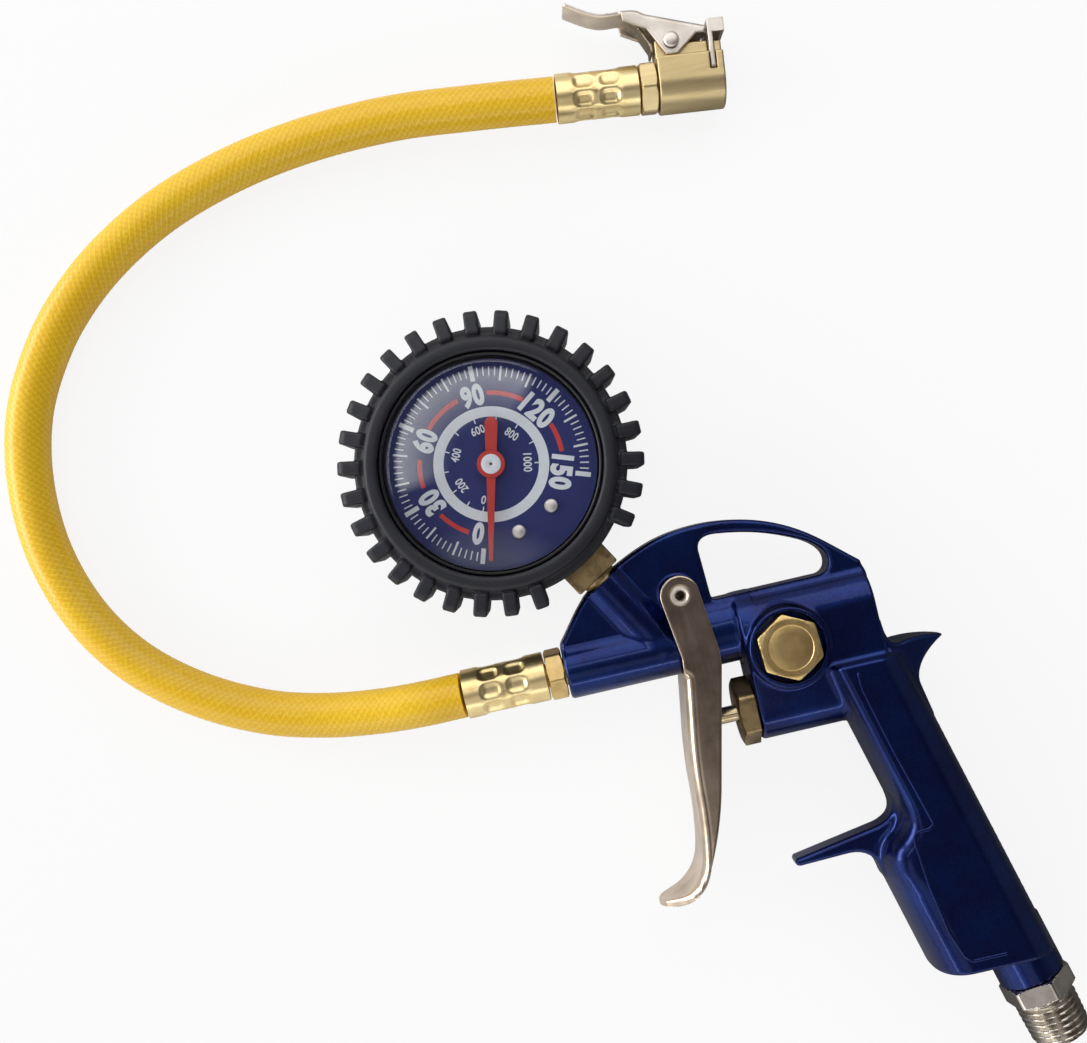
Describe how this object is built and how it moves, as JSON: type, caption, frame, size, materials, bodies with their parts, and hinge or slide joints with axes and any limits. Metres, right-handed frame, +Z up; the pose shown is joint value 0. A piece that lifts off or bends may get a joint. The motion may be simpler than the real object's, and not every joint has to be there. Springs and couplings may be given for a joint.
{
  "type": "tyre inflator gun with gauge",
  "caption": "Hand-held tyre inflator: cast gun with a trigger, a booted dial gauge, a threaded air inlet, and a short hose with a clip-on lever chuck.",
  "frame": {"origin": "bottom centre of the box round the rigid pieces, without the hose and what hangs on it, on the table that the gun lies on", "axes": "+X back along the barrel from its mouth to the horn; +Y across the gun from the grip towards the gauge and the chuck; +Z up from the table, out of the dial"},
  "size_m": [0.2076, 0.2471, 0.026],
  "materials": {
    "gun_paint": "glossy metallic dark blue enamel on a zinc casting",
    "brass": "machined",
    "dull_brass": "machined, slightly tarnished",
    "bright_brass": "pressed and bright",
    "nickel": "nickel plating",
    "trigger_plating": "dark nickel plating on rolled steel",
    "spring_steel": "bright drawn",
    "black_steel": "black lacquer",
    "boot_rubber": "moulded, satin",
    "seal_rubber": "plain",
    "lens": "clear, domed",
    "dial_paint": "printed navy dial",
    "pointer_paint": "matt red paint",
    "hose_pvc": "clear yellow cover over a braid"
  },
  "bodies": {
    "gun": {"gun_body": "gun_paint", "side_plug": "brass", "plug_seal": "seal_rubber", "packing_nut": "dull_brass", "stem_seal": "seal_rubber", "poppet_spring": "spring_steel", "inlet_fitting": "nickel", "trigger_pin": "brass", "gauge_boot": "boot_rubber", "gauge_case": "black_steel", "bezel_ring": "black_steel", "gauge_lens": "lens", "dial_plate": "dial_paint", "dial_screw_1": "nickel", "dial_screw_2": "nickel", "movement_back_plate": "brass", "movement_front_plate": "brass", "gauge_stem": "dull_brass", "bourdon_tube": "brass", "hose_fitting_gun": "brass", "ferrule_gun": "bright_brass", "hose": "hose_pvc", "ferrule_chuck": "bright_brass", "hose_fitting_chuck": "dull_brass", "chuck_body": "dull_brass", "lever_pin": "nickel", "lever_spring": "spring_steel", "chuck_seal": "seal_rubber", "valve_depressor": "brass"},
    "trigger": {"trigger": "trigger_plating"},
    "valve_stem": {"valve_stem": "nickel"},
    "poppet": {"valve_poppet": "brass", "poppet_seal": "seal_rubber"},
    "pointer": {"pointer": "pointer_paint", "pinion_shaft": "brass"},
    "sector": {"sector_gear": "brass"},
    "link": {"gauge_link": "spring_steel"},
    "lever": {"chuck_lever": "nickel"},
    "jaw": {"chuck_jaw": "nickel"}
  },
  "joints": [
    {"name": "trigger_pull", "type": "hinge", "parent": "gun", "child": "trigger", "pos_m": [-0.00096, 0.02282, 0.011], "axis": [0, 0, 1], "range_deg": [0, 8], "stiffness_Nm_per_rad": 0.8, "springref_deg": -6.88},
    {"name": "stem_slide", "type": "slide", "parent": "gun", "child": "valve_stem", "axis": [1, 0, 0], "range_m": [0, 0.0041]},
    {"name": "poppet_slide", "type": "slide", "parent": "gun", "child": "poppet", "axis": [1, 0, 0], "range_m": [0, 0.0041], "deforming": ["poppet_spring"]},
    {"name": "pointer_turn", "type": "hinge", "parent": "gun", "child": "pointer", "pos_m": [-0.03386, 0.05917, 0.0211], "axis": [0, 0, -1], "range_deg": [0, 270], "stiffness_Nm_per_rad": 0.00002, "springref_deg": -22.92},
    {"name": "sector_turn", "type": "hinge", "parent": "gun", "child": "sector", "pos_m": [-0.04468, 0.06542, 0.015], "axis": [0, 0, 1], "range_deg": [0, 30.1]},
    {"name": "link_slide", "type": "slide", "parent": "gun", "child": "link", "axis": [-0.2074, -0.9783, 0], "range_m": [0, 0.0025]},
    {"name": "lever_press", "type": "hinge", "parent": "gun", "child": "lever", "pos_m": [0.02526, 0.14139, 0.0068], "axis": [0, 0, 1], "range_deg": [0, 15], "stiffness_Nm_per_rad": 0.4, "springref_deg": -11.46, "deforming": ["lever_spring"]},
    {"name": "jaw_slide", "type": "slide", "parent": "gun", "child": "jaw", "axis": [0.1149, 0.9934, 0], "range_m": [0, 0.0025]}
  ],
  "couplings": [
    {"joint": "stem_slide", "follows": "trigger_pull", "m_per_rad": 0.0287},
    {"joint": "poppet_slide", "follows": "trigger_pull", "m_per_rad": 0.0287},
    {"joint": "sector_turn", "follows": "pointer_turn", "ratio": 0.11111},
    {"joint": "link_slide", "follows": "pointer_turn", "m_per_rad": 0.000507},
    {"joint": "jaw_slide", "follows": "lever_press", "m_per_rad": 0.0091}
  ]
}
